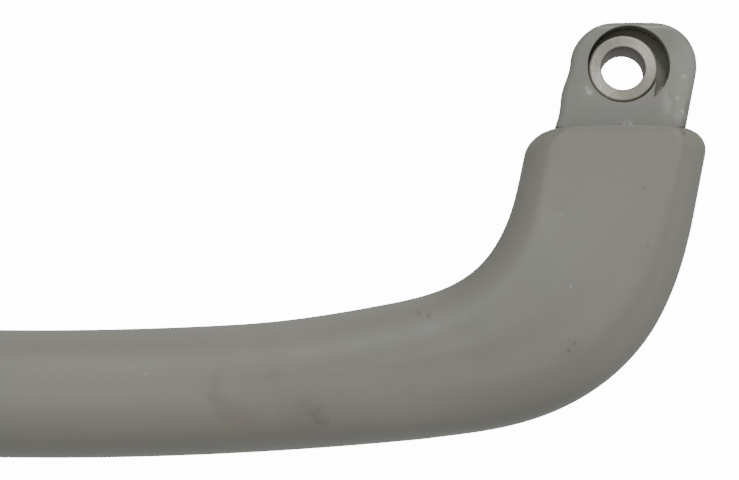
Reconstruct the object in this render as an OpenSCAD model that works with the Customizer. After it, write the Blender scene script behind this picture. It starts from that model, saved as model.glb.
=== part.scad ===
// Pillar grab handle: one moulded grip with a thinner fixing tab at each end and a steel sleeve in each tab.
// Millimetres. The origin is midway between the two bolt holes, on the pillar's face.
// +X runs along the handle, +Y from the grip to the tabs, +Z out of the pillar.

/* [Fixing] */
// distance between the two bolt holes
hole_spacing = 250; // [200:1:320]
// clearance hole through each sleeve, for an M8 bolt
bore_d = 9; // [8.4:0.1:9.6]
// wall of a sleeve
sleeve_wall = 2.65; // [2:0.05:2.8]
// height of a sleeve from the pillar's face
sleeve_h = 9; // [7:0.5:9]
// depth of the chamfer at the mouth of the bore
bore_chamfer = 0.2; // [0.1:0.05:0.6]
// gap round a sleeve above the pocket's floor
seat_gap = 0.15; // [0.1:0.05:0.5]
// height of the pocket's floor from the pillar's face; below it the sleeve is held tight
pocket_floor = 5; // [2:0.1:6]
// how much wider than the sleeve's hole the pocket is that makes the crescent
pocket_more = 2.5; // [2:0.1:2.8]
// how far the pocket's centre lies outside the bolt hole
pocket_offset = 1.2; // [1:0.1:1.4]
// how far the pocket's centre lies above the bolt hole, towards the tab's tip
pocket_rise = 0.6; // [0.2:0.1:0.7]
// inward lean of the straight side that bounds the crescent below the bolt hole's middle
pocket_lean = 8; // [2:0.5:14]

/* [Tab] */
// width of a tab across the bolt hole
tab_w = 26.9; // [26:0.1:30]
// how far the middle of the tab lies outside the bolt hole
tab_offset = 2; // [1.2:0.1:2.2]
// outward lean of the tabs
tab_lean = 11.8; // [4:0.2:14]
// thickness of a tab
tab_t = 9.4; // [9:0.1:11.5]
// distance from the bolt hole's centre to the tip of the tab
tab_tip = 10.1; // [10:0.1:12]
// radius of the tab's corner towards the middle of the handle
tab_corner_in = 7.2; // [5:0.1:8]
// radius of the tab's corner away from the middle of the handle
tab_corner_out = 11.5; // [7:0.5:12]
// rounding of the tab's front edge
tab_edge = 1.6; // [0.8:0.1:2.4]

/* [Leg and grip] */
// distance from the line of the bolt holes to the middle of the grip
reach = 68.9; // [65:0.1:90]
// distance from the line of the bolt holes to the end of the leg
shoulder = 12.7; // [12.2:0.1:16]
// width of the grip
grip_w = 26.6; // [22:0.1:32]
// depth of the grip, front to back
grip_t = 21; // [18:0.5:26]
// width of a leg
leg_w = 37.1; // [35:0.1:42]
// thickness of a leg at its end
leg_t = 12.5; // [12:0.5:17]
// outward lean of the legs
leg_lean = 11.2; // [5:0.2:15]
// half of the angle that the bowed grip turns through
grip_bow = 5.9; // [2:0.1:8]
// length of the bend between the grip and a leg
bend_length = 67.5; // [58:0.5:74]
// radius of the leg end's corner towards the grip
corner_in = 5.2; // [4:0.1:7]
// radius of the leg end's corner away from the grip
corner_out = 5; // [3:0.1:6]
// width of the leg's rounded flank on its inner side
flank_in = 7; // [4:0.5:9]
// width of the leg's rounded flank on its outer side
flank_out = 6.5; // [4:0.5:9]
// height of the leg's rounded flanks
flank_h = 7; // [4:0.5:9]
// rounding of the leg's front edge at its end
leg_edge = 0.5; // [0.25:0.25:3]

/* [Hidden] */
$fn = 96;
// ring: points along each rounded corner of a section, and points across its front
corner_n = 7;
face_n = 3;
bend_n = 240;
sleeve_d = bore_d + 2 * sleeve_wall;
seat_d = sleeve_d + 2 * seat_gap;
pocket_d = seat_d + pocket_more;
tab_cx = hole_spacing / 2 + tab_offset;
// length over which the leg's end draws in
end_run = max(corner_in, corner_out) + 0.8;
// how far the leg's middle line, drawn on to the bolt holes' line, passes outside the bolt hole
leg_offset = 1.8;
end_x = hole_spacing / 2 + leg_offset - shoulder * tan(leg_lean);
end_y = -shoulder;
a1 = grip_bow;
a2 = 90 - leg_lean;
// the step from the leg's end down to the tab leans by this much
riser = 0.3;
tab_taper = 0.015;
tab_back = 0.5;
sleeve_chamfer = 0.35;
// stretch of the path over which the section widens, inside and outside of the bend
grow_in = [46, 128];
grow_out = [84, 125];
// length before the leg's end over which the sections turn square, where the handle starts to thin, and
// stretch over which the flanks form
turn_run = 31;
thin_from = 60;
flank_from = [50, 70];
flank_till = 66;
// the grip's oval: rounding of front and back as shares of its half width and of its depth
front_w = 0.9;
front_t = 0.6;
back_w = 0.82;
back_t = 0.36;
// rounding of a leg's back edges, and how much the front is crowned in the grip, the leg and the tab
back_edge = 2.5;
grip_crown = 0.12;
leg_crown = 0.5;
tab_crown = 0.15;
eps = 1;

// smooth step from 0 to 1
function ss(t) = let (u = min(1, max(0, t))) u * u * (3 - 2 * u);
function mix(a, b, t) = a + (b - a) * t;
// how far a round corner of radius r draws an edge in, at d before the end
function inset(r, d) = d >= r ? 0 : r - sqrt(max(0, r * r - (r - d) * (r - d)));

// the bend's path from its start, in even steps
bend_step = bend_length / bend_n;
function heading(u) = mix(a1, a2, ss(u));
function unit(a) = [cos(a), sin(a)];
bend_path = [
    for (i = 0, p = [0, 0]; i <= bend_n; p = p + bend_step * unit(heading((i + 0.5) / bend_n)), i = i + 1) p];
bend_v = bend_path[bend_n];
// straight part of the leg, and radius of the bowed grip, so that the path meets both ends
k = tan(a1 / 2);
leg_s = (reach + end_y - bend_v[1] - (end_x - bend_v[0]) * k) / (sin(a2) - cos(a2) * k);
bend_from = [end_x, end_y] - leg_s * unit(a2) - bend_v;
bow_r = bend_from[0] / sin(a1);
bow_s = bow_r * a1 * PI / 180;
path_s = bow_s + bend_length + leg_s;

function on_bend(u) =
    let (f = u * bend_n, i = min(bend_n - 1, floor(f)))
    mix(bend_path[i], bend_path[i + 1], f - i);
// point and heading of the middle line at s from the middle of the grip
function at(s) =
    s < bow_s ? [bow_r * sin(s / bow_s * a1), bow_r * (1 - cos(s / bow_s * a1)) - reach]
    : s < bow_s + bend_length ? bend_from + on_bend((s - bow_s) / bend_length)
    : bend_from + bend_v + (s - bow_s - bend_length) * unit(a2);
function dir(s) =
    s < bow_s ? s / bow_s * a1
    : s < bow_s + bend_length ? heading((s - bow_s) / bend_length) : a2;
function rail(s, w) = at(s) + w * [-sin(dir(s)), cos(dir(s))];
function half_in(s) = mix(grip_w, leg_w, ss((s - grow_in[0]) / (grow_in[1] - grow_in[0]))) / 2;
function half_out(s) = mix(grip_w, leg_w, ss((s - grow_out[0]) / (grow_out[1] - grow_out[0]))) / 2;
// towards the leg's end the sections turn to lie square to the tabs
function skew(s) = leg_w / 2 * tan(leg_lean) * ss((s - path_s + end_run + turn_run + 0.5) / turn_run);
function in_rail(s) =
    let (q = s - skew(s), p = rail(q, half_in(q)))
    p + [inset(corner_in, end_y - p[1]), 0];
function out_rail(s) =
    let (q = s + skew(s), p = rail(q, -half_out(q)))
    p - [inset(corner_out, end_y - p[1]), 0];
function thick(s) = mix(grip_t, leg_t, ss((s - thin_from) / (path_s - thin_from)));

// one section: rails p and q, front height, rounding of the front across (inner and outer side) and in
// height, rounding of the back across and in height, and how much the front is crowned
function ring(p, q, top, fx, gx, fz, bx, bz, crown) =
    let (c = (p + q) / 2, h = (q - p) / 2, w = norm(h), n = corner_n - 1, e = h / w)
    [for (v = concat(
        [for (i = [0:n]) let (a = 90 * i / n) [-w + bx - bx * sin(a), bz - bz * cos(a)]],
        [for (i = [0:n]) let (a = 90 * i / n) [-w + fx - fx * cos(a), top - crown - fz + fz * sin(a)]],
        [for (i = [1:face_n]) let (t = 2 * i / (face_n + 1) - 1)
            [mix(fx - w, w - gx, (t + 1) / 2), top - crown * t * t]],
        [for (i = [0:n]) let (a = 90 * i / n) [w - gx + gx * sin(a), top - crown - fz + fz * cos(a)]],
        [for (i = [0:n]) let (a = 90 * i / n) [w - bx + bx * cos(a), bz - bz * sin(a)]]))
        [c[0] + e[0] * v[0], c[1] + e[1] * v[0], v[1]]];

function body_ring(s) =
    let (t = ss((s - flank_from[0]) / (path_s - flank_till)),
        u = ss((s - flank_from[1]) / (path_s - flank_till)),
        p = in_rail(s), q = out_rail(s), w = norm(q - p) / 2, drop = inset(leg_edge, path_s - s))
    ring(p, q, thick(s) - drop, mix(front_w * w, flank_in, t), mix(front_w * w, flank_out, u),
        mix(front_t * grip_t, flank_h, t) - drop / 2, mix(back_w * w, back_edge, t),
        mix(back_t * grip_t, back_edge, t), mix(grip_crown, leg_crown, t));

// the tab's edges at height y, for half width h, tip at y1 and corner radius r
function tab_in(y, h, y1, r) = [tab_cx + y * tan(tab_lean) - h + tab_taper * y + inset(r, y1 - y), y];
function tab_out(y, h, y1, r) = [tab_cx + y * tan(tab_lean) + h - tab_taper * y - inset(r, y1 - y), y];
function tab_ring(y, top) =
    let (d = tab_tip - y, drop = inset(tab_edge, d))
    ring(tab_in(y, tab_w / 2, tab_tip, tab_corner_in), tab_out(y, tab_w / 2, tab_tip, tab_corner_out),
        top - drop, tab_edge, tab_edge, tab_edge - drop / 2, tab_back, tab_back, tab_crown);

function round_steps(r, n) = [for (i = [0:n]) r * (1 - sin(90 * i / n))];
bow_at = [for (i = [0:5]) bow_s * i / 6];
bend_at = [for (i = [0:21]) bow_s + bend_length * i / 22];
leg_at = [for (i = [0:2]) bow_s + bend_length + (leg_s - end_run) * i / 3];
end_at = [for (d = round_steps(end_run, 7)) path_s - d];
tab_at = concat([for (i = [0:3]) mix(end_y + riser, tab_tip - tab_corner_out, i / 4)],
    [for (d = round_steps(tab_corner_out, 12)) tab_tip - d]);
right_rings = concat([for (s = concat(bow_at, bend_at, leg_at, end_at)) body_ring(s)],
    [for (y = tab_at) tab_ring(y, tab_t)]);
function mirrored(r) = [for (p = r) [-p[0], p[1], p[2]]];
rings = concat([for (i = [len(right_rings) - 1:-1:1]) mirrored(right_rings[i])], right_rings);

// the moulded outline: a closed skin through the sections
module moulded_body() {
    m = len(rings[0]);
    n = len(rings);
    polyhedron(
        points = [for (r = rings, p = r) p],
        faces = concat(
            [[for (j = [0:m - 1]) j]],
            [for (i = [0:n - 2], j = [0:m - 1], f = [0, 1]) let (a = i * m, b = a + m, l = (j + 1) % m)
                f == 0 ? [a + j, b + j, b + l] : [a + j, b + l, a + l]],
            [[for (j = [m - 1:-1:0]) (n - 1) * m + j]]));
}

// copies to both ends, as mirror images
module at_ends() {
    for (m = [0, 1])
        mirror([m, 0, 0])
            translate([hole_spacing / 2, 0, 0])
                children();
}

// the hole round a sleeve, with a crescent beside it that runs from the inner side over the tip to the outer
// side and ends there along a straight side
module pocket() {
    far = pocket_d;
    side_x = (seat_d - seat_gap) / 2;
    translate([0, 0, pocket_floor]) {
        cylinder(d = seat_d, h = tab_t);
        difference() {
            translate([pocket_offset, pocket_rise, 0])
                cylinder(d = pocket_d, h = tab_t);
            translate([0, 0, -eps])
                linear_extrude(height = tab_t + 2 * eps)
                    polygon([[-far, -far / 4], [side_x, 0], [side_x - far * tan(pocket_lean), -far], [-far, -far]]);
        }
    }
}

// grey moulding: the grip, the legs and the tabs
module moulded_handle() {
    color([0.52, 0.52, 0.48])
        difference() {
            moulded_body();
            at_ends() {
                translate([0, 0, -eps])
                    cylinder(d = sleeve_d, h = tab_t);
                pocket();
            }
        }
}

// turned steel sleeve that carries the bolt's pull
module sleeve() {
    color([0.66, 0.64, 0.6])
        difference() {
            union() {
                cylinder(d = sleeve_d, h = sleeve_h - sleeve_chamfer);
                translate([0, 0, sleeve_h - sleeve_chamfer])
                    cylinder(d1 = sleeve_d, d2 = sleeve_d - 2 * sleeve_chamfer, h = sleeve_chamfer);
            }
            translate([0, 0, -eps])
                cylinder(d = bore_d, h = sleeve_h + 2 * eps);
            translate([0, 0, sleeve_h - bore_chamfer])
                cylinder(d1 = bore_d, d2 = bore_d + 4 * bore_chamfer, h = 2 * bore_chamfer);
        }
}

module sleeve_left() {
    translate([-hole_spacing / 2, 0, 0])
        sleeve();
}

module sleeve_right() {
    translate([hole_spacing / 2, 0, 0])
        sleeve();
}

moulded_handle();
sleeve_left();
sleeve_right();
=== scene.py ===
import bpy, bmesh, math
from math import sin, cos, tan, radians, sqrt, pi, atan2
from mathutils import Matrix, Vector


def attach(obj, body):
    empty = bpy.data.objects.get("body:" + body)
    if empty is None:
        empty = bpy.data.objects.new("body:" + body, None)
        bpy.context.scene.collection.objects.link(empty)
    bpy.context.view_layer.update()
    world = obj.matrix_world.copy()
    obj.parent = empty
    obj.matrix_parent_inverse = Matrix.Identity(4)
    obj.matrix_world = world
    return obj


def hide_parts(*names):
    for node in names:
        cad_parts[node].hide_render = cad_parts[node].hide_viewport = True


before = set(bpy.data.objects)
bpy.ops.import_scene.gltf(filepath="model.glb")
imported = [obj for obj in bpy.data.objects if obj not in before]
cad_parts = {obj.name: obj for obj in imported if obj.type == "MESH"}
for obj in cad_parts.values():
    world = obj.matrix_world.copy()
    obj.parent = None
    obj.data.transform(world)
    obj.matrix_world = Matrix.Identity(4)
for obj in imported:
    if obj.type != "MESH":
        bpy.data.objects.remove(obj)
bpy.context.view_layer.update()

# Dimensions in millimetres, the same named values as in the part's source
HOLES = 250.0
SEAT_R, POCKET_R, POCKET_OUT, POCKET_UP, POCKET_LEAN = 7.3, 8.55, 1.2, 0.6, 8.0
TAB_W, TAB_T, TAB_TIP, TAB_LEAN, TAPER = 26.9, 9.4, 10.1, 11.8, 0.015
TAB_IN, TAB_OUT, TAB_EDGE = 7.2, 11.5, 1.6
REACH, SHOULDER, GRIP_W, GRIP_T, LEG_W, LEG_T = 68.9, 12.7, 26.6, 21.0, 37.1, 12.5
LEAN, BOW, BEND = 11.2, 5.9, 67.5
CORNER_IN, CORNER_OUT, LEG_EDGE, RISER = 5.2, 5.0, 0.3, 0.3
GROW_IN, GROW_OUT = (46.0, 128.0), (84.0, 125.0)
POCKET_FLOOR = 5.0
SLEEVE_H, SLEEVE_R, BORE_R, MOUTH = 9.0, 7.15, 4.5, 0.2
TAB_CX = HOLES / 2 + 2.0
FLANK_IN, FLANK_OUT, FLANK_H = 7.0, 6.5, 7.0
SWELL, SWELL_AT, SWELL_RUN = 0.22, -4.9, 10.0
# Where the sections begin to turn, to flatten (inner side, outer side) and to thin towards the leg, along the path
TURN_BEFORE, TURN_RUN, FLAT_IN, FLAT_OUT, FLAT_SHORT, THIN_FROM = 32.3, 31.0, 50.0, 70.0, 66.0, 60.0
# Flank widths and heights: as shares in the oval grip, in millimetres in the leg
OVAL_FRONT, OVAL_FRONT_H, OVAL_BACK, OVAL_BACK_H = 0.9, 0.6, 0.82, 0.36
LEG_BACK, LEG_CROWN = 2.5, 0.5
PICTURE_W, SENSOR_W = 739, 36.0
MM = 0.001


def ss(t):
    t = min(1.0, max(0.0, t))
    return t * t * (3 - 2 * t)


def mix(a, b, t):
    return a + (b - a) * t


def inset(r, d):
    return 0.0 if d >= r else r - sqrt(max(0.0, r * r - (r - d) ** 2))


class Path:
    """The middle line of the grip, bend and leg."""

    def __init__(self, n=240):
        self.a1, self.a2, self.n = radians(BOW), radians(90 - LEAN), n
        self.pts = [(0.0, 0.0)]
        for i in range(n):
            h = self.heading((i + 0.5) / n)
            x, y = self.pts[-1]
            self.pts.append((x + BEND / n * cos(h), y + BEND / n * sin(h)))
        vx, vy = self.pts[-1]
        ex, ey = HOLES / 2 + 1.8 - SHOULDER * tan(radians(LEAN)), -SHOULDER
        k = tan(self.a1 / 2)
        self.leg = (REACH + ey - vy - (ex - vx) * k) / (sin(self.a2) - cos(self.a2) * k)
        self.bx = ex - self.leg * cos(self.a2) - vx
        self.by = ey - self.leg * sin(self.a2) - vy
        self.r = self.bx / sin(self.a1)
        self.bow = self.r * self.a1
        self.s = self.bow + BEND + self.leg

    def heading(self, u):
        return mix(self.a1, self.a2, ss(u))

    def rail(self, s, w):
        if s < self.bow:
            a = s / self.bow * self.a1
            x, y = self.r * sin(a), self.r * (1 - cos(a)) - REACH
        elif s < self.bow + BEND:
            u = (s - self.bow) / BEND
            f = u * self.n
            i = min(self.n - 1, int(f))
            (x0, y0), (x1, y1) = self.pts[i], self.pts[i + 1]
            a = self.heading(u)
            x, y = self.bx + mix(x0, x1, f - i), self.by + mix(y0, y1, f - i)
        else:
            a, d = self.a2, s - self.bow - BEND
            x = self.bx + self.pts[-1][0] + d * cos(a)
            y = self.by + self.pts[-1][1] + d * sin(a)
        return x - w * sin(a), y + w * cos(a)


def section(p, q, top, fx, gx, fz, bx, bz, crown, n, face, back):
    """One section of the moulding, from the back's inner edge over the front and round again."""
    cx, cy, hx, hy = (p[0] + q[0]) / 2, (p[1] + q[1]) / 2, (q[0] - p[0]) / 2, (q[1] - p[1]) / 2
    w = sqrt(hx * hx + hy * hy)
    ex, ey = hx / w, hy / w
    turn = [pi / 2 * i / n for i in range(n + 1)]
    v = [(-w + bx - bx * sin(a), bz - bz * cos(a)) for a in turn]
    v += [(-w + fx - fx * cos(a), top - crown - fz + fz * sin(a)) for a in turn]
    for i in range(1, face + 1):
        t = 2 * i / (face + 1) - 1
        v.append((mix(fx - w, w - gx, (t + 1) / 2), top - crown * ss(abs(t))))
    v += [(w - gx + gx * sin(a), top - crown - fz + fz * cos(a)) for a in turn]
    v += [(w - bx + bx * cos(a), bz - bz * sin(a)) for a in turn]
    v += [((1 - 2 * i / (back + 1)) * (w - bx), 0.0) for i in range(1, back + 1)]
    return [(cx + ex * t, cy + ey * t, z) for t, z in v]


def tab_edges(y, half, tip, r_in, r_out):
    c, h = TAB_CX + y * tan(radians(TAB_LEAN)), half - TAPER * y
    # the inner edge isn't quite straight: it swells about half way down
    swell = SWELL * cos(2 * pi * (y - SWELL_AT) / SWELL_RUN) * ss((y + SHOULDER) / 3) * ss((4 - y) / 4)
    return (c - h - swell + inset(r_in, tip - y), y), (c + h - inset(r_out, tip - y), y)


def skin_sections(fine, n, face, back):
    path = Path()
    S = path.s

    def half(s, grow):
        return mix(GRIP_W, LEG_W, ss((s - grow[0]) / (grow[1] - grow[0]))) / 2

    def body(s):
        sk = LEG_W / 2 * tan(radians(LEAN)) * ss((s - S + max(CORNER_IN, CORNER_OUT) + TURN_BEFORE) / TURN_RUN)
        p = path.rail(s - sk, half(s - sk, GROW_IN))
        q = path.rail(s + sk, -half(s + sk, GROW_OUT))
        p = (p[0] + inset(CORNER_IN, -SHOULDER - p[1]), p[1])
        q = (q[0] - inset(CORNER_OUT, -SHOULDER - q[1]), q[1])
        w = sqrt((q[0] - p[0]) ** 2 + (q[1] - p[1]) ** 2) / 2
        t, u = ss((s - FLAT_IN) / (S - FLAT_SHORT)), ss((s - FLAT_OUT) / (S - FLAT_SHORT))
        drop = inset(LEG_EDGE, S - s)
        top = mix(GRIP_T, LEG_T, ss((s - THIN_FROM) / (S - THIN_FROM))) - drop
        return section(p, q, top, mix(OVAL_FRONT * w, FLANK_IN, t), mix(OVAL_FRONT * w, FLANK_OUT, u),
                       mix(OVAL_FRONT_H * GRIP_T, FLANK_H, t) - drop / 2, mix(OVAL_BACK * w, LEG_BACK, t),
                       mix(OVAL_BACK_H * GRIP_T, LEG_BACK, t), mix(0.0, LEG_CROWN, t), n, face, back)

    def tab(y):
        drop = inset(TAB_EDGE, TAB_TIP - y)
        p, q = tab_edges(y, TAB_W / 2, TAB_TIP, TAB_IN, TAB_OUT)
        return section(p, q, TAB_T - drop, TAB_EDGE, TAB_EDGE, TAB_EDGE - drop / 2, 0.5, 0.5, 0.15,
                       n, face, back)

    def steps(r, m):
        return [r * (1 - sin(pi / 2 * i / m)) for i in range(m + 1)]

    at = [path.bow * i / (14 * fine) for i in range(14 * fine)]
    at += [path.bow + BEND * i / (22 * fine) for i in range(22 * fine)]
    run = max(CORNER_IN, CORNER_OUT) + 0.8
    at += [path.bow + BEND + (path.leg - run) * i / (4 * fine) for i in range(4 * fine)]
    at += [S - d for d in steps(run, 7 * fine)]
    ys = [mix(-SHOULDER + RISER, TAB_TIP - TAB_OUT, i / (5 * fine)) for i in range(5 * fine)]
    ys += [TAB_TIP - d for d in steps(TAB_OUT, 12 * fine)]
    right = [body(s) for s in at] + [tab(y) for y in ys]
    left = [[(-x, y, z) for x, y, z in r] for r in reversed(right[1:])]
    return left + right


def new_mesh(name, verts, faces):
    me = bpy.data.meshes.new(name)
    me.from_pydata([(x * MM, y * MM, z * MM) for x, y, z in verts], [], faces)
    me.validate()
    ob = bpy.data.objects.new(name, me)
    bpy.context.scene.collection.objects.link(ob)
    return ob


def outward(ob):
    bm = bmesh.new()
    bm.from_mesh(ob.data)
    bmesh.ops.recalc_face_normals(bm, faces=bm.faces)
    bm.to_mesh(ob.data)
    bm.free()


def smooth(ob, angle=38):
    ob.data.shade_smooth()
    ob.data.set_sharp_from_angle(angle=radians(angle))


def lofted(name, rings):
    m, n = len(rings[0]), len(rings)
    faces = [[j for j in range(m)], [(n - 1) * m + j for j in reversed(range(m))]]
    for i in range(n - 1):
        for j in range(m):
            k = (j + 1) % m
            faces.append((i * m + j, (i + 1) * m + j, (i + 1) * m + k, i * m + k))
    ob = new_mesh(name, [p for r in rings for p in r], faces)
    outward(ob)
    return ob


def cut(ob, tool):
    mod = ob.modifiers.new("cut", "BOOLEAN")
    mod.operation, mod.solver, mod.object = "DIFFERENCE", "EXACT", tool
    dg = bpy.context.evaluated_depsgraph_get()
    me = bpy.data.meshes.new_from_object(ob.evaluated_get(dg))
    ob.modifiers.clear()
    ob.data = me
    bpy.data.objects.remove(tool)


def meet(px, py, r, x0, lean):
    """Lower point where a circle round (px, py) crosses the leaning line x = x0 + y * lean."""
    a, b, c = 1 + lean ** 2, lean * (x0 - px) - py, (x0 - px) ** 2 + py ** 2 - r ** 2
    y = (-b - sqrt(b * b - a * c)) / a
    return x0 + y * lean, y


def arc(px, py, r, a0, a1, n):
    return [(px + r * cos(mix(a0, a1, i / n)), py + r * sin(mix(a0, a1, i / n))) for i in range(n + 1)]


def pocket_outline(grow):
    """The hole round a sleeve and the crescent beside it, set back by grow all round."""
    seat, far, lean = SEAT_R + grow, POCKET_R + grow, tan(radians(POCKET_LEAN))
    x0 = (SEAT_R + SLEEVE_R) / 2 - grow
    tail = meet(POCKET_OUT, POCKET_UP, far, x0, lean)
    foot = meet(0.0, 0.0, seat, x0, lean)
    # the circles cross on the inner side
    off, turn = sqrt(POCKET_OUT ** 2 + POCKET_UP ** 2), atan2(POCKET_UP, POCKET_OUT)
    near = pi - math.acos((far ** 2 - seat ** 2 - off ** 2) / (2 * off * seat)) + turn
    nx, ny = seat * cos(near), seat * sin(near)
    out = arc(POCKET_OUT, POCKET_UP, far, atan2(tail[1] - POCKET_UP, tail[0] - POCKET_OUT),
              atan2(ny - POCKET_UP, nx - POCKET_OUT) % (2 * pi), 160)
    out += arc(0.0, 0.0, seat, near, 2 * pi + atan2(foot[1], foot[0]), 120)[1:]
    return out + [(mix(foot[0], tail[0], i / 8), mix(foot[1], tail[1], i / 8)) for i in range(1, 8)]


def pocket_tool(side):
    # the mouth's edge is rounded over in short steps
    edge, front = 0.1, TAB_T - 0.15
    levels = [(POCKET_FLOOR, 0.0), (front - edge, 0.0)]
    for i in range(1, 5):
        a = pi / 2 * i / 4
        levels.append((front - edge + edge * sin(a), edge * (1 - cos(a))))
    levels += [(TAB_T + 1.5, edge * 1.02)]
    rings = [[(side * (x + HOLES / 2), y, z) for x, y in pocket_outline(g)] for z, g in levels]
    return lofted("pocket_tool", rings)


def round_tool(side):
    """The hole that holds the lower half of a sleeve."""
    ring = [(side * (HOLES / 2 + x), y) for x, y in arc(0.0, 0.0, SLEEVE_R, 0.0, 2 * pi, 128)[:-1]]
    return lofted("round_tool", [[(x, y, z) for x, y in ring] for z in (-1.0, POCKET_FLOOR + 0.4)])


# Shader helpers
def material(name):
    m = bpy.data.materials.new(name)
    m.use_nodes = True
    return m, m.node_tree, m.node_tree.nodes["Principled BSDF"]


def node(nt, kind, inputs=None, **props):
    n = nt.nodes.new(kind)
    for k, v in props.items():
        setattr(n, k, v)
    for k, v in (inputs or {}).items():
        if isinstance(v, bpy.types.NodeSocket):
            nt.links.new(v, n.inputs[k])
        else:
            n.inputs[k].default_value = v
    return n


def maths(nt, op, a, b=0.0):
    return node(nt, "ShaderNodeMath", {0: a, 1: b}, operation=op).outputs[0]


def vector(nt, op, a, b, out="Vector"):
    return node(nt, "ShaderNodeVectorMath", {0: a, 1: b}, operation=op).outputs[out]


def ramp(nt, fac, stops):
    n = node(nt, "ShaderNodeValToRGB", {0: fac})
    el = n.color_ramp.elements
    while len(el) < len(stops):
        el.new(0.5)
    for e, (pos, col) in zip(el, stops):
        e.position = pos
        e.color = (*col, 1)
    return n.outputs[0]


def blend_rgb(nt, fac, a, b):
    n = nt.nodes.new("ShaderNodeMix")
    n.data_type = "RGBA"
    for idx, v in ((0, fac), (6, a), (7, b)):
        if isinstance(v, bpy.types.NodeSocket):
            nt.links.new(v, n.inputs[idx])
        elif idx:
            n.inputs[idx].default_value = (*v, 1)
        else:
            n.inputs[idx].default_value = v
    return n.outputs[2]


def noise(nt, vec, scale, detail=3.0, rough=0.55, distort=0.0):
    n = node(nt, "ShaderNodeTexNoise", {"Vector": vec, "Scale": scale, "Detail": detail, "Roughness": rough,
                                        "Distortion": distort})
    return n.outputs["Fac"]


def window(nt, v, lo, hi):
    """0 below lo, 1 above hi, smooth between; falls when hi < lo."""
    n = node(nt, "ShaderNodeMapRange", {"Value": v, "From Min": min(lo, hi), "From Max": max(lo, hi),
                                        "To Min": 0.0 if lo < hi else 1.0, "To Max": 1.0 if lo < hi else 0.0},
             interpolation_type="SMOOTHSTEP")
    return n.outputs["Result"]


def stretched(nt, vec, sx, sy, sz, turn=0.0):
    return node(nt, "ShaderNodeMapping", {"Vector": vec, "Scale": (sx, sy, sz),
                                          "Rotation": (0, 0, turn)}).outputs[0]


def spot(nt, vec, x, y, r, soft=1.0):
    """A round mask at a place given in millimetres in the part's frame."""
    d = vector(nt, "DISTANCE", vector(nt, "MULTIPLY", vec, (1, 1, 0)), (x * MM, y * MM, 0), "Value")
    return window(nt, d, r * MM * (1 + soft), r * MM * (1 - soft * 0.6))


def warped(nt, vec, scale, amount):
    """The place shifted by noise, up to about amount millimetres, so that marks get ragged outlines."""
    n = node(nt, "ShaderNodeTexNoise", {"Vector": vec, "Scale": scale, "Detail": 3.0, "Roughness": 0.6})
    d = vector(nt, "SUBTRACT", n.outputs["Color"], (0.5, 0.5, 0.5))
    return vector(nt, "ADD", vec, vector(nt, "MULTIPLY", d, (4 * amount * MM,) * 3))


# The camera, fitted to the outline in the photograph
CAM_AT = Vector((105.1, -105.0, 459.0)) * MM
CAM_TO = Vector((72.26, -36.41, 9.0)) * MM
CAM_ROLL, CAM_FOCAL = 0.702, 2189.2
back_v = (CAM_AT - CAM_TO).normalized()
right_v = Vector((0, 1, 0)).cross(back_v).normalized()
up_v = back_v.cross(right_v)
roll = radians(CAM_ROLL)
right_v, up_v = right_v * cos(roll) + up_v * sin(roll), -right_v * sin(roll) + up_v * cos(roll)
cam_data = bpy.data.cameras.new("camera")
cam = bpy.data.objects.new("camera", cam_data)
bpy.context.scene.collection.objects.link(cam)
cam.matrix_world = Matrix((
    (right_v.x, up_v.x, back_v.x, CAM_AT.x),
    (right_v.y, up_v.y, back_v.y, CAM_AT.y),
    (right_v.z, up_v.z, back_v.z, CAM_AT.z),
    (0, 0, 0, 1)))
cam_data.sensor_width = SENSOR_W
cam_data.lens = SENSOR_W * CAM_FOCAL / PICTURE_W
cam_data.clip_start, cam_data.clip_end = 0.01, 20
bpy.context.scene.camera = cam

# The moulding
skin = lofted("grained_handle", skin_sections(2, 12, 9, 5))
for side in (-1, 1):
    cut(skin, round_tool(side))
    cut(skin, pocket_tool(side))
smooth(skin)


# Marks on the moulding: place in millimetres, radius, strength
DIRT = [(42.3, -65.3, 0.8, 0.1), (42.1, -67.6, 0.9, 0.16), (41.9, -69.8, 1.1, 0.2), (43.4, -71.8, 1.6, 0.16),
        (45.7, -73.3, 2.1, 0.16), (48.1, -75.4, 2.4, 0.08), (61.0, -71.9, 1.8, 0.14), (63.0, -73.2, 1.2, 0.28),
        (63.9, -74.7, 0.9, 0.34), (59.4, -73.8, 3.2, 0.16), (54.4, -66.2, 1.9, 0.12), (112.4, -28.5, 2.2, 0.1),
        (96.6, -60.3, 2.4, 0.08), (80.0, -56.5, 1.6, 0.06), (113.8, -59.4, 1.6, 0.12), (116.5, 3.0, 3.5, 0.09),
        (115.6, -3.5, 3.0, 0.09), (135.5, 6.5, 3.0, 0.14)]
RUST = [(43.6, -76.0, 2.2, 0.25), (46.6, -75.4, 2.2, 0.4), (49.6, -75.0, 1.8, 0.22), (65.6, -74.6, 1.6, 0.25)]
PITS = [(113.5, -60.1, 0.34), (114.7, -58.5, 0.26), (85.1, -53.3, 0.34), (83.1, -52.5, 0.3), (128.8, -26.0, 0.2),
        (129.6, -38.1, 0.2), (137.0, -13.0, 0.5), (137.3, -14.4, 0.4)]
# painted highlights on the visible tab
PALE_HIGHLIGHTS = [(133.7, -5.4, 0.7, 0.25), (133.8, -6.6, 0.7, 0.35), (133.9, -7.9, 0.7, 0.4), (134.0, -9.2, 0.6, 0.3),
        (136.8, -10.4, 0.7, 0.3), (117.4, -4.9, 1.5, 0.15), (126.0, -12.0, 0.8, 0.15)]
CHIPS = [(114.0, -46.9, 0.24), (28.1, -65.6, 0.26), (111.8, -32.0, 0.16)]
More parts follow.
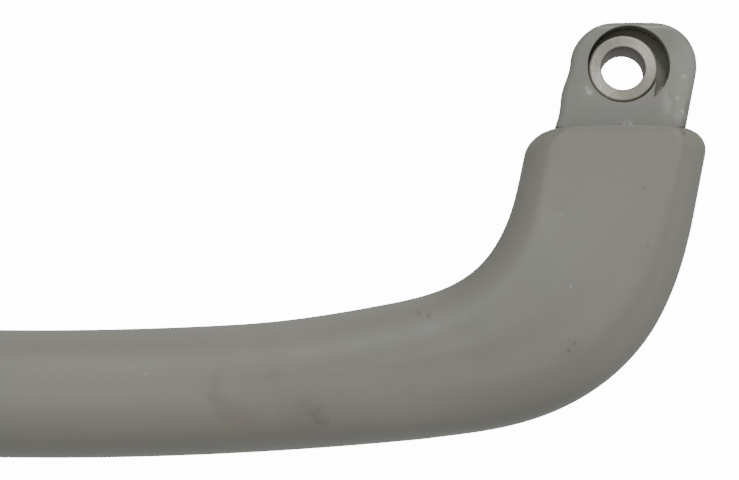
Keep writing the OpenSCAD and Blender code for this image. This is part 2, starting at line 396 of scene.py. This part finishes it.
# painted glints on the visible tab; the last five make a short bright scratch
GLINTS = [(137.6, -1.8, 0.42), (136.2, -6.5, 0.3), (137.2, -9.2, 0.3), (126.4, -11.9, 0.3), (125.1, -11.9, 0.25),
          (117.9, -5.1, 0.5), (118.0, -5.3, 0.4), (117.3, -4.2, 0.25), (131.6, -5.6, 0.25),
          (132.3, -4.3, 0.2), (132.7, -4.0, 0.2), (133.1, -3.7, 0.2), (133.5, -3.4, 0.2), (134.0, -3.0, 0.2)]


def skin_material():
    m, nt, bsdf = material("grey moulding")
    coord = node(nt, "ShaderNodeTexCoord")
    pos = coord.outputs["Object"]
    xyz, lean = (node(nt, "ShaderNodeSeparateXYZ", {0: coord.outputs[k]}) for k in ("Object", "Normal"))
    x, y, z = (xyz.outputs[k] for k in ("X", "Y", "Z"))
    aside = maths(nt, "ABSOLUTE", x)
    tab = window(nt, y, -SHOULDER * MM, (0.3 - SHOULDER) * MM)
    cloud = noise(nt, pos, 28, 4, 0.6)
    fine = noise(nt, pos, 190, 3, 0.6)
    base = ramp(nt, cloud, [(0.3, (0.238, 0.234, 0.203)), (0.7, (0.262, 0.257, 0.223))])
    # faint patches of another hue, and fine streaks along the grip and along the legs
    base = blend_rgb(nt, window(nt, noise(nt, pos, 95, 2, 0.5), 0.52, 0.66), base, (0.246, 0.25, 0.2))
    base = blend_rgb(nt, window(nt, noise(nt, pos, 70, 2, 0.5, 0.3), 0.6, 0.75), base, (0.266, 0.25, 0.222))
    along = window(nt, y, -0.058, -0.04)
    streak = node(nt, "ShaderNodeMix", {0: along, 2: noise(nt, stretched(nt, pos, 30, 900, 30), 1, 2),
                                        3: noise(nt, stretched(nt, pos, 900, 25, 30, 0.19), 1, 2)}).outputs[0]
    base = blend_rgb(nt, maths(nt, "MULTIPLY", window(nt, streak, 0.35, 0.7), 0.3), base, (0.228, 0.224, 0.195))
    base = blend_rgb(nt, maths(nt, "MULTIPLY", fine, 0.1), base, (0.30, 0.295, 0.262))
    # painted shade darkens the bends' fronts and the legs' end edges; the same masks make them rougher
    beside = node(nt, "ShaderNodeCombineXYZ", {0: aside, 1: y}).outputs[0]
    dull_and_shaded = spot(nt, beside, 99.5, -49.5, 14.5, 0.95)
    for cx, cy, r, amount in ((107, -59, 12.0, 0.6), (83, -56.5, 8.0, 0.7), (76, -57.6, 5.5, 0.6),
                              (69, -59.2, 5.0, 0.45)):
        dull_and_shaded = maths(nt, "MAXIMUM", dull_and_shaded, maths(nt, "MULTIPLY", spot(nt, beside, cx, cy, r, 0.95), amount))
    base = blend_rgb(nt, maths(nt, "MULTIPLY", dull_and_shaded, 0.65), base, (0.2, 0.197, 0.172))
    end = maths(nt, "MULTIPLY", window(nt, y, -0.015, -0.0131), maths(nt, "SUBTRACT", 1.0, tab))
    base = blend_rgb(nt, maths(nt, "MULTIPLY", end, 0.5), base, (0.185, 0.182, 0.159))
    # painted shade darkens the legs' fronts, the flanks of bends and legs and the grip's lower side;
    # a painted highlight lightens the grip's upper side
    up, north = lean.outputs["Z"], lean.outputs["Y"]
    face = maths(nt, "MULTIPLY", window(nt, up, 0.985, 0.999), window(nt, aside, 0.09, 0.105))
    face = maths(nt, "MULTIPLY", face, maths(nt, "SUBTRACT", 1.0, tab))
    base = blend_rgb(nt, maths(nt, "MULTIPLY", face, 0.2), base, (0.2, 0.197, 0.172))
    flank_shade = maths(nt, "MULTIPLY", window(nt, up, 0.999, 0.93), window(nt, aside, 0.075, 0.105))
    flank_shade = maths(nt, "MULTIPLY", maths(nt, "MULTIPLY", flank_shade, window(nt, up, 0.1, 0.6)), window(nt, tab, 0.5, 0.4))
    outside = window(nt, maths(nt, "MULTIPLY", lean.outputs["X"], maths(nt, "SIGN", x)), 0.2, 0.55)
    flank_shade = maths(nt, "MULTIPLY", flank_shade, maths(nt, "SUBTRACT", 1.0, maths(nt, "MULTIPLY", outside, 0.85)))
    base = blend_rgb(nt, maths(nt, "MULTIPLY", flank_shade, 0.65), base, (0.2, 0.197, 0.17))
    base = blend_rgb(nt, maths(nt, "MULTIPLY", window(nt, north, -0.6, -0.95), 0.7), base, (0.19, 0.187, 0.163))
    painted_sheen = maths(nt, "MULTIPLY", window(nt, aside, 0.06, 0.02), window(nt, y, -0.076, -0.069))
    painted_sheen = maths(nt, "MULTIPLY", painted_sheen, window(nt, y, -0.0605, -0.0645))
    painted_sheen = maths(nt, "MAXIMUM", painted_sheen, maths(nt, "MULTIPLY", window(nt, north, 0.6, 0.95),
                                                window(nt, y, -0.045, -0.05)))
    base = blend_rgb(nt, maths(nt, "MULTIPLY", painted_sheen, 0.6), base, (0.295, 0.291, 0.255))
    # the bare tabs are slightly cooler; a painted highlight lightens the visible tab beside the crescent, and the
    # tab is darker under the sleeve
    base = blend_rgb(nt, maths(nt, "MULTIPLY", tab, 0.65), base, (0.243, 0.246, 0.22))
    hue = noise(nt, pos, 210, 2, 0.5, 0.4)
    base = blend_rgb(nt, maths(nt, "MULTIPLY", maths(nt, "MULTIPLY", window(nt, hue, 0.52, 0.62), tab), 0.7), base,
                     (0.248, 0.263, 0.205))
    base = blend_rgb(nt, maths(nt, "MULTIPLY", maths(nt, "MULTIPLY", window(nt, hue, 0.46, 0.36), tab), 0.7), base,
                     (0.255, 0.24, 0.222))
    wide = noise(nt, pos, 260, 3, 0.6)
    pale = maths(nt, "MULTIPLY", window(nt, x, 0.1325, 0.1372), window(nt, y, -0.0125, -0.0085))
    pale = maths(nt, "MULTIPLY", pale, window(nt, y, 0.008, 0.003))
    pale = maths(nt, "MULTIPLY", pale, maths(nt, "ADD", maths(nt, "MULTIPLY", wide, 0.7), 0.45))
    base = blend_rgb(nt, maths(nt, "MULTIPLY", pale, 0.8), base, (0.335, 0.345, 0.3))
    under = maths(nt, "MULTIPLY", maths(nt, "MULTIPLY", window(nt, y, -0.0062, -0.0095), tab),
                  window(nt, x, 0.1345, 0.1295))
    base = blend_rgb(nt, maths(nt, "MULTIPLY", under, 0.5), base, (0.215, 0.217, 0.197))
    ragged = noise(nt, pos, 300, 4, 0.7, 0.6)
    broken = maths(nt, "ADD", maths(nt, "MULTIPLY", window(nt, ragged, 0.3, 0.62), 0.6), 0.4)
    loose, tight = warped(nt, pos, 500, 0.7), warped(nt, pos, 1900, 0.4)
    # dirt and rust stains, and the painted highlights
    for marks, tone in ((DIRT, (0.13, 0.127, 0.1)), (RUST, (0.278, 0.232, 0.19)), (PALE_HIGHLIGHTS, (0.44, 0.44, 0.38))):
        for sx, sy, sr, amount in marks:
            k = maths(nt, "MULTIPLY", spot(nt, loose, sx, sy, sr, 0.95), broken)
            base = blend_rgb(nt, maths(nt, "MULTIPLY", k, amount), base, tone)
    # painted shade: the sunk floors and walls beside the sleeves are darkened, most at the top and bottom; the
    # upper walls get more painted shade, the lower walls a painted lighter tone
    pocket_shade = maths(nt, "MULTIPLY", spot(nt, beside, HOLES / 2 + POCKET_OUT, POCKET_UP, POCKET_R + 0.6, 0.04),
                 window(nt, z, 0.0093, 0.0083))
    amount = maths(nt, "ADD", maths(nt, "MULTIPLY", window(nt, y, 0.003, -0.0035), 0.42), 0.33)
    amount = maths(nt, "ADD", maths(nt, "MULTIPLY", window(nt, y, 0.003, 0.0065), 0.36), amount)
    base = blend_rgb(nt, maths(nt, "MULTIPLY", pocket_shade, amount), base, (0.12, 0.115, 0.082))
    wall = maths(nt, "MULTIPLY", pocket_shade, window(nt, up, 0.7, 0.3))
    shaded = maths(nt, "MULTIPLY", wall, window(nt, y, 0.001, 0.006))
    base = blend_rgb(nt, maths(nt, "MULTIPLY", shaded, 0.2), base, (0.075, 0.073, 0.055))
    painted_lit = maths(nt, "MULTIPLY", wall, window(nt, y, 0.006, 0.001))
    base = blend_rgb(nt, maths(nt, "MULTIPLY", painted_lit, 0.6), base, (0.33, 0.325, 0.27))
    # the visible tab's outer edge is rubbed dark below the crescent
    rim = maths(nt, "SUBTRACT", x, maths(nt, "MULTIPLY", y, tan(radians(TAB_LEAN))))
    rim = window(nt, rim, (TAB_CX + TAB_W / 2 - 1.3) * MM, (TAB_CX + TAB_W / 2 - 0.6) * MM)
    rim = maths(nt, "MULTIPLY", maths(nt, "MULTIPLY", rim, window(nt, y, -0.004, -0.007)), tab)
    rim = maths(nt, "MULTIPLY", rim, window(nt, noise(nt, pos, 1500, 3, 0.7), 0.35, 0.6))
    base = blend_rgb(nt, maths(nt, "MULTIPLY", rim, 0.6), base, (0.15, 0.147, 0.125))
    # scuffs along the outer edge of the visible tab, with a painted highlight along the same strip
    scuff_and_sheen = window(nt, noise(nt, stretched(nt, pos, 1500, 260, 200, 0.2), 1, 3, 0.6), 0.56, 0.66)
    where = maths(nt, "MULTIPLY", window(nt, x, 0.1352, 0.1372), window(nt, y, 0.0, -0.0025))
    where = maths(nt, "MULTIPLY", where, tab)
    base = blend_rgb(nt, maths(nt, "MULTIPLY", maths(nt, "MULTIPLY", scuff_and_sheen, where), 0.4), base, (0.5, 0.5, 0.45))
    # dark pits, light chips, and painted glints with one short scratch
    for marks, amount, tone in ((PITS, 0.4, (0.075, 0.07, 0.06)), (CHIPS, 0.45, (0.5, 0.49, 0.45)),
                                (GLINTS, 0.45, (0.6, 0.59, 0.52))):
        for sx, sy, sr in marks:
            k = spot(nt, tight, sx, sy, sr, 0.9)
            base = blend_rgb(nt, maths(nt, "MULTIPLY", k, amount), base, tone)
    nt.links.new(base, bsdf.inputs["Base Color"])
    r = maths(nt, "ADD", maths(nt, "MULTIPLY", noise(nt, pos, 420, 3), 0.14), 0.32)
    r = maths(nt, "ADD", r, maths(nt, "MULTIPLY", maths(nt, "MAXIMUM", dull_and_shaded, end), 0.16))
    nt.links.new(r, bsdf.inputs["Roughness"])
    grain = maths(nt, "MULTIPLY", noise(nt, pos, 2600, 2, 0.5), 0.6)
    h = maths(nt, "ADD", grain, maths(nt, "MULTIPLY", noise(nt, pos, 500, 3, 0.5), 0.8))
    bump = node(nt, "ShaderNodeBump", {"Strength": 0.16, "Distance": 0.00012, "Height": h})
    nt.links.new(bump.outputs[0], bsdf.inputs["Normal"])
    bsdf.inputs["Specular IOR Level"].default_value = 0.5
    return m


skin.data.materials.clear()
skin.data.materials.append(skin_material())
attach(skin, "root")
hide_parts("moulded_handle")


# The sleeves, turned
def lathe(name, profile, x, n=128):
    verts, faces = [], []
    for i in range(n):
        a = 2 * pi * i / n
        verts += [(x + r * cos(a), r * sin(a), z) for r, z in profile]
    m = len(profile)
    for i in range(n):
        for j in range(m):
            k, l = (i + 1) % n, (j + 1) % m
            faces.append((i * m + j, k * m + j, k * m + l, i * m + l))
    ob = new_mesh(name, verts, faces)
    outward(ob)
    smooth(ob, 30)
    return ob


def sleeve_profile():
    h, c, b = SLEEVE_H, 0.35, 0.12
    pts = [(BORE_R, 0.3), (BORE_R, h - MOUTH - 0.1), (BORE_R + 0.06, h - MOUTH + 0.04),
           (BORE_R + MOUTH - 0.08, h - 0.1), (BORE_R + MOUTH + 0.05, h - 0.01), (BORE_R + MOUTH + b, h)]
    # faint turning grooves on the face
    r0, r1 = BORE_R + MOUTH + 0.25, SLEEVE_R - c - 0.1
    for i in range(9):
        r = mix(r0, r1, i / 8)
        pts.append((r, h - (0.018 if i % 2 else 0.0)))
    pts += [(SLEEVE_R - c, h - 0.02), (SLEEVE_R - 0.08, h - c + 0.08), (SLEEVE_R, h - c - 0.05), (SLEEVE_R, 0.2),
            (SLEEVE_R - 0.2, 0.0), (BORE_R + 0.3, 0.0)]
    return pts


def steel_material():
    m, nt, bsdf = material("turned steel")
    pos = node(nt, "ShaderNodeTexCoord").outputs["Object"]
    xyz = node(nt, "ShaderNodeSeparateXYZ", {0: pos})
    ax = maths(nt, "SUBTRACT", maths(nt, "ABSOLUTE", xyz.outputs["X"]), HOLES / 2 * MM)
    rad = maths(nt, "SQRT", maths(nt, "ADD", maths(nt, "MULTIPLY", ax, ax),
                                  maths(nt, "MULTIPLY", xyz.outputs["Y"], xyz.outputs["Y"])))
    rings_v = node(nt, "ShaderNodeCombineXYZ", {0: maths(nt, "MULTIPLY", rad, 9000.0),
                                                1: maths(nt, "MULTIPLY", xyz.outputs["Z"], 5000.0)}).outputs[0]
    rings_n = noise(nt, rings_v, 1.0, 2, 0.6)
    blotch = noise(nt, pos, 900, 4, 0.65)
    # the turned face catches the light along one diagonal
    round_at = maths(nt, "ARCTAN2", xyz.outputs["Y"], ax)
    lobes = maths(nt, "COSINE", maths(nt, "MULTIPLY", maths(nt, "SUBTRACT", round_at, radians(28)), 2.0))
    lobes = maths(nt, "ADD", maths(nt, "MULTIPLY", lobes, 0.5), 0.5)
    shade = maths(nt, "ADD", maths(nt, "MULTIPLY", blotch, 0.55), maths(nt, "MULTIPLY", lobes, 0.48))
    col = ramp(nt, shade, [(0.2, (0.27, 0.258, 0.21)), (0.5, (0.37, 0.357, 0.3)), (0.8, (0.58, 0.568, 0.5))])
    col = blend_rgb(nt, maths(nt, "MULTIPLY", rings_n, 0.3), col, (0.30, 0.285, 0.26))
    # bright nicks at the lower left of the visible face
    nick = window(nt, noise(nt, stretched(nt, pos, 2400, 700, 500, -0.25), 1, 3, 0.6), 0.52, 0.64)
    where = maths(nt, "MAXIMUM", spot(nt, pos, 119.2, -2.6, 1.7, 0.9), spot(nt, pos, 121.0, -4.9, 1.4, 0.9))
    col = blend_rgb(nt, maths(nt, "MULTIPLY", maths(nt, "MULTIPLY", nick, where), 0.75), col, (0.85, 0.84, 0.78))
    # painted shade: a darker band round the mouth, and the bore darkened except for a painted lit side where the
    # light reaches
    col = blend_rgb(nt, maths(nt, "MULTIPLY", window(nt, rad, 0.00515, 0.0047), 0.5), col, (0.24, 0.23, 0.19))
    painted_lit = window(nt, maths(nt, "COSINE", maths(nt, "SUBTRACT", round_at, radians(175))), 0.45, 0.97)
    dark = maths(nt, "SUBTRACT", 0.7, maths(nt, "MULTIPLY", painted_lit, 0.6))
    col = blend_rgb(nt, maths(nt, "MULTIPLY", window(nt, rad, 0.0048, 0.00455), dark), col, (0.12, 0.11, 0.1))
    nt.links.new(col, bsdf.inputs["Base Color"])
    nt.links.new(maths(nt, "ADD", maths(nt, "MULTIPLY", blotch, 0.3), 0.3), bsdf.inputs["Roughness"])
    bsdf.inputs["Metallic"].default_value = 0.75
    bump = node(nt, "ShaderNodeBump", {"Strength": 0.35, "Distance": 0.00006,
                                       "Height": maths(nt, "ADD", rings_n, blotch)})
    nt.links.new(bump.outputs[0], bsdf.inputs["Normal"])
    return m


steel = steel_material()
for name, x in (("sleeve_left", -HOLES / 2), ("sleeve_right", HOLES / 2)):
    ob = lathe("turned_" + name, sleeve_profile(), x)
    ob.data.materials.append(steel)
    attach(ob, "root")
    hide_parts(name)


# Pale floor and soft light
def floor():
    me = bpy.data.meshes.new("floor")
    e = 3.0
    me.from_pydata([(-e, -e, -0.0005), (e, -e, -0.0005), (e, e, -0.0005), (-e, e, -0.0005)], [], [(0, 1, 2, 3)])
    ob = bpy.data.objects.new("floor", me)
    bpy.context.scene.collection.objects.link(ob)
    m, _, bsdf = material("pale floor")
    bsdf.inputs["Base Color"].default_value = (0.9, 0.9, 0.9, 1)
    bsdf.inputs["Roughness"].default_value = 0.9
    bsdf.inputs["Specular IOR Level"].default_value = 0.0
    bsdf.inputs["Emission Color"].default_value = (1, 1, 1, 1)
    bsdf.inputs["Emission Strength"].default_value = 14.0
    me.materials.append(m)
    ob.visible_diffuse = ob.visible_glossy = False


def area(name, at, to, size, power, color=(1, 1, 1)):
    d = bpy.data.lights.new(name, "AREA")
    d.shape, d.size, d.energy, d.color = "DISK", size, power, color
    ob = bpy.data.objects.new(name, d)
    bpy.context.scene.collection.objects.link(ob)
    ob.location = at
    ob.rotation_euler = (Vector(to) - Vector(at)).to_track_quat("-Z", "Y").to_euler()


floor()
area("key", (0.3, 0.72, 0.85), (0.05, -0.03, 0), 0.34, 5.8)
world = bpy.data.worlds.new("studio")
world.use_nodes = True
wt = world.node_tree
way = node(wt, "ShaderNodeSeparateXYZ", {0: node(wt, "ShaderNodeTexCoord").outputs["Generated"]})
sky = ramp(wt, maths(wt, "ADD", maths(wt, "MULTIPLY", way.outputs["Z"], 0.5), 0.5),
           [(at, (grey,) * 3) for at, grey in ((0.0, 0.5), (0.4, 0.5), (0.55, 0.52), (1.0, 0.625))])
wt.links.new(sky, wt.nodes["Background"].inputs[0])
tilt = maths(wt, "SUBTRACT", maths(wt, "MULTIPLY", way.outputs["X"], 0.1),
             maths(wt, "MULTIPLY", way.outputs["Y"], 0.13))
wt.links.new(maths(wt, "ADD", tilt, 0.98), wt.nodes["Background"].inputs[1])
bpy.context.scene.world = world
